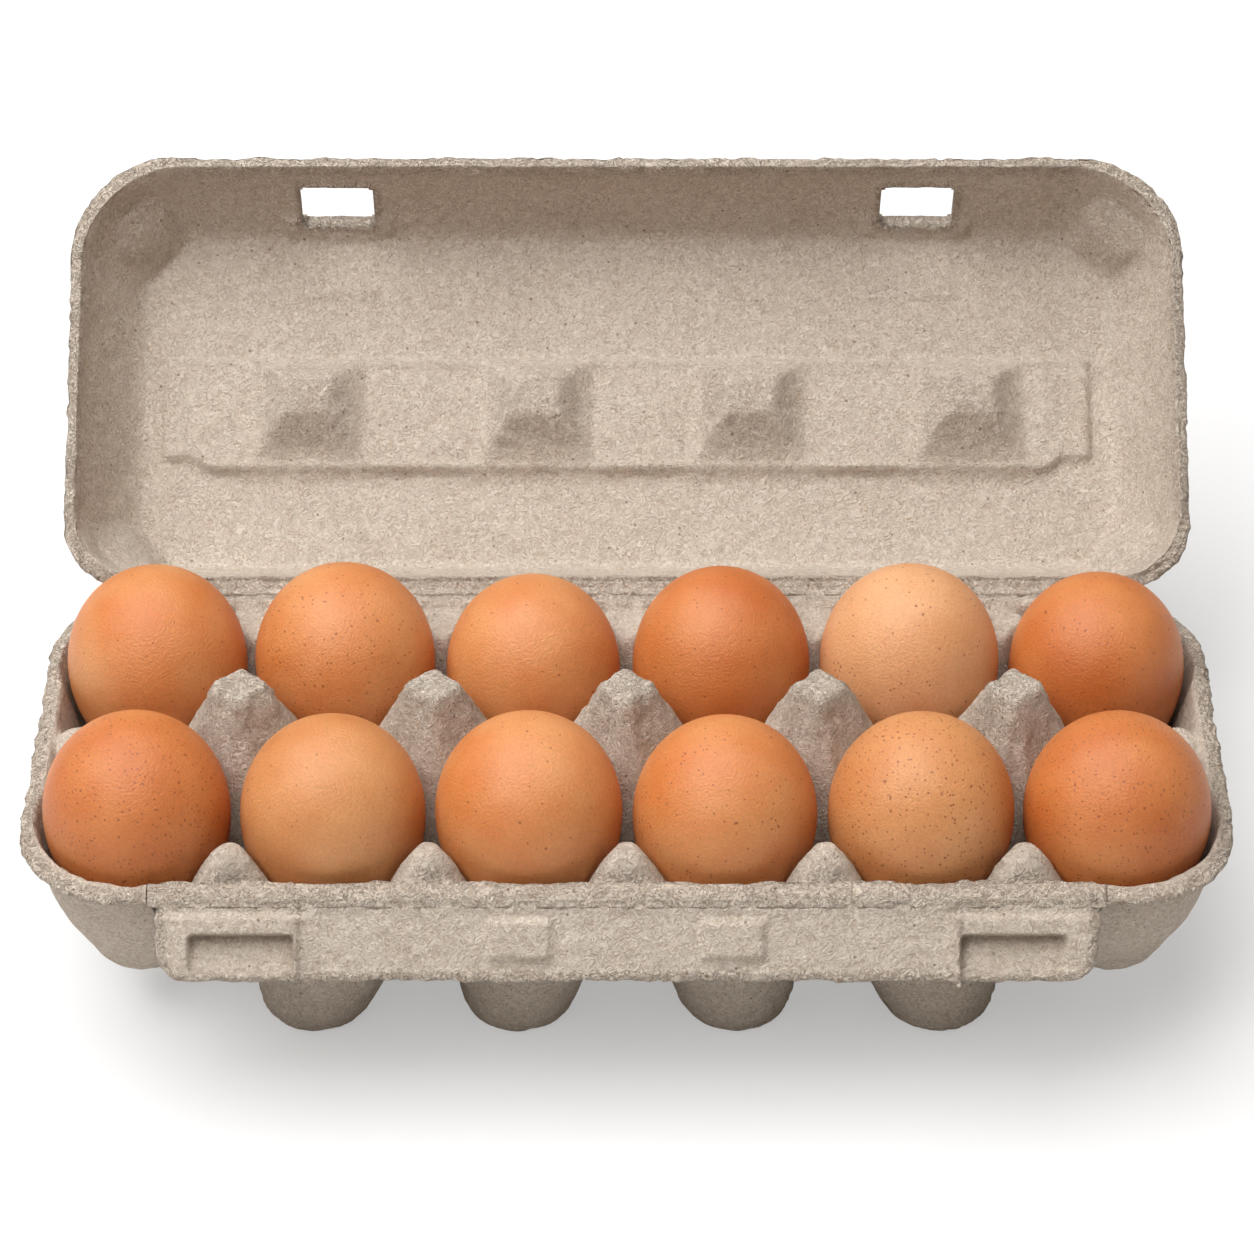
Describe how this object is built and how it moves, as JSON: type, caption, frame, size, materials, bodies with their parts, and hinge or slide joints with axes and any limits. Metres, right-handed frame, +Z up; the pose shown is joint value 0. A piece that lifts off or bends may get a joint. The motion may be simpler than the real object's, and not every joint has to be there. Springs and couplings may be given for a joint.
{
  "type": "egg carton with eggs",
  "caption": "Open moulded pulp egg carton with a hinged lid, a hinged lock flap and upright brown eggs standing in its cups.",
  "frame": {"origin": "middle of the open carton's box, on the surface that the cups' feet stand on", "axes": "+X along the carton to the right, +Y to the back where the lid is hinged, +Z up"},
  "size_m": [0.296, 0.2296, 0.1312],
  "materials": {
    "pulp": "matt moulded paper pulp, warm grey-beige with brown flecks",
    "shell_orange": "satin eggshell, orange brown",
    "shell_deep": "satin eggshell, deep orange brown with specks",
    "shell_tan": "satin eggshell, light tan",
    "shell_pale": "satin eggshell, pale peach"
  },
  "bodies": {
    "tray": {"tray": "pulp", "egg_1": "shell_orange", "egg_2": "shell_orange", "egg_3": "shell_orange", "egg_4": "shell_deep", "egg_5": "shell_pale", "egg_6": "shell_deep", "egg_7": "shell_deep", "egg_8": "shell_tan", "egg_9": "shell_orange", "egg_10": "shell_orange", "egg_11": "shell_tan", "egg_12": "shell_deep"},
    "lid": {"lid": "pulp"},
    "flap": {"flap": "pulp"}
  },
  "joints": [
    {"name": "lid_hinge", "type": "hinge", "parent": "tray", "child": "lid", "pos_m": [0, 0.01284, 0.0602], "axis": [1, 0, 0], "range_deg": [0, 143]},
    {"name": "flap_hinge", "type": "hinge", "parent": "tray", "child": "flap", "pos_m": [0, -0.09986, 0.0589], "axis": [-1, 0, 0], "range_deg": [0, 160]}
  ]
}
